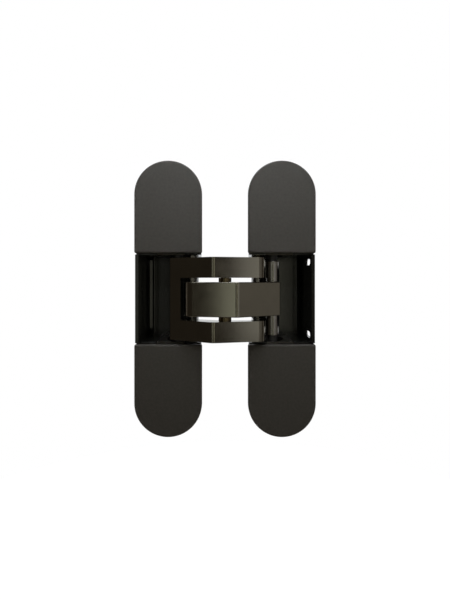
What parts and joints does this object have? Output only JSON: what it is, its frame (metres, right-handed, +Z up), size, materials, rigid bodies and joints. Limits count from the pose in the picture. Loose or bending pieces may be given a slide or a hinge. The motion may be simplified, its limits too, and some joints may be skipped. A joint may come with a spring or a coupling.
{
  "type": "concealed door hinge",
  "caption": "Concealed door hinge, fully open: round-ended recessed halves joined by a forked arm and a middle arm crossed on a pin, with clip-on covers.",
  "frame": {"origin": "The middle of the gap between the two halves of the open hinge, at mid-height, in the plane of the cap faces.", "axes": "+X from the frame half to the door half, +Y from the cap faces into the wood, +Z up along the pivots. At rest the door is fully open."},
  "size_m": [0.0788, 0.0367, 0.12],
  "materials": {
    "cap_paint": "charcoal powder coat with a fine grain, nearly matt",
    "housing_paint": "near-black satin coating on a zinc casting",
    "carrier_paint": "near-black satin coating on a zinc casting",
    "arm_bronze": "dark bronze-brown satin coating on steel",
    "guide_steel": "blackened pressed steel, oiled",
    "pin_steel": "ground steel, slightly warm",
    "sleeve_steel": "dark drawn steel tube",
    "bush_brass": "dull bearing brass",
    "slide_polymer": "black acetal",
    "screw_steel": "plated steel"
  },
  "bodies": {
    "frame_housing": {"left_housing": "housing_paint", "left_upper_cap": "cap_paint", "left_lower_cap": "cap_paint"},
    "frame_carrier": {"left_carrier": "carrier_paint", "left_upper_guide": "guide_steel", "left_lower_guide": "guide_steel", "left_pivot_pin": "pin_steel", "left_pivot_sleeves": "sleeve_steel"},
    "upper_side_screw": {"left_upper_side_screw": "screw_steel"},
    "lower_side_screw": {"left_lower_side_screw": "screw_steel"},
    "inner_arm": {"middle_arm": "arm_bronze", "centre_bush": "bush_brass", "middle_slider_pin": "pin_steel", "middle_slider_bushes": "slide_polymer", "middle_slider_sleeves": "sleeve_steel"},
    "outer_arm": {"fork_arm": "arm_bronze", "centre_pin": "pin_steel", "centre_washers": "bush_brass", "fork_slider_pin": "pin_steel", "fork_slider_bushes": "slide_polymer"},
    "door_carrier": {"right_carrier": "carrier_paint", "right_upper_guide": "guide_steel", "right_lower_guide": "guide_steel", "right_pivot_pin": "pin_steel", "right_pivot_spacer": "sleeve_steel", "right_pivot_washers": "bush_brass"},
    "upper_height_cam": {"right_upper_height_cam": "screw_steel"},
    "lower_height_cam": {"right_lower_height_cam": "screw_steel"},
    "door_housing": {"right_housing": "housing_paint", "right_upper_cap": "cap_paint", "right_lower_cap": "cap_paint", "right_clamp_screws": "screw_steel"}
  },
  "joints": [
    {"name": "side_adjust", "type": "slide", "parent": "frame_housing", "child": "frame_carrier", "axis": [0, 1, 0], "range_m": [-0.001, 0.001]},
    {"name": "upper_side_screw_turn", "type": "hinge", "parent": "frame_housing", "child": "upper_side_screw", "pos_m": [-0.0247, 0.01, 0.0272], "axis": [0, 1, 0], "range_deg": [-451, 451]},
    {"name": "lower_side_screw_turn", "type": "hinge", "parent": "frame_housing", "child": "lower_side_screw", "pos_m": [-0.0247, 0.01, -0.0272], "axis": [0, 1, 0], "range_deg": [-451, 451]},
    {"name": "door_swing", "type": "hinge", "parent": "frame_carrier", "child": "inner_arm", "pos_m": [-0.0151, 0.012, 0], "axis": [0, 0, -1], "range_deg": [0, 93.6]},
    {"name": "arm_cross", "type": "hinge", "parent": "inner_arm", "child": "outer_arm", "pos_m": [0, -0.005, 0], "axis": [0, 0, 1], "range_deg": [0, 7.25]},
    {"name": "door_fold", "type": "hinge", "parent": "outer_arm", "child": "door_carrier", "pos_m": [0.0151, 0.012, 0], "axis": [0, 0, -1], "range_deg": [0, 93.61]},
    {"name": "upper_height_cam_turn", "type": "hinge", "parent": "door_carrier", "child": "upper_height_cam", "pos_m": [0.019, 0.01, 0.0272], "axis": [0, 1, 0], "range_deg": [-46, 46]},
    {"name": "lower_height_cam_turn", "type": "hinge", "parent": "door_carrier", "child": "lower_height_cam", "pos_m": [0.019, 0.01, -0.0272], "axis": [0, 1, 0], "range_deg": [-46, 46]},
    {"name": "height_adjust", "type": "slide", "parent": "door_carrier", "child": "door_housing", "axis": [0, 0, 1], "range_m": [-0.001, 0.001]}
  ],
  "couplings": [
    {"joint": "arm_cross", "follows": "door_swing", "ratio": 0.077105},
    {"joint": "door_fold", "follows": "door_swing", "ratio": 1},
    {"joint": "upper_side_screw_turn", "follows": "side_adjust", "rad_per_m": -7854},
    {"joint": "lower_side_screw_turn", "follows": "side_adjust", "rad_per_m": -7854},
    {"joint": "upper_height_cam_turn", "follows": "height_adjust", "rad_per_m": -785.4},
    {"joint": "lower_height_cam_turn", "follows": "height_adjust", "rad_per_m": -785.4}
  ]
}
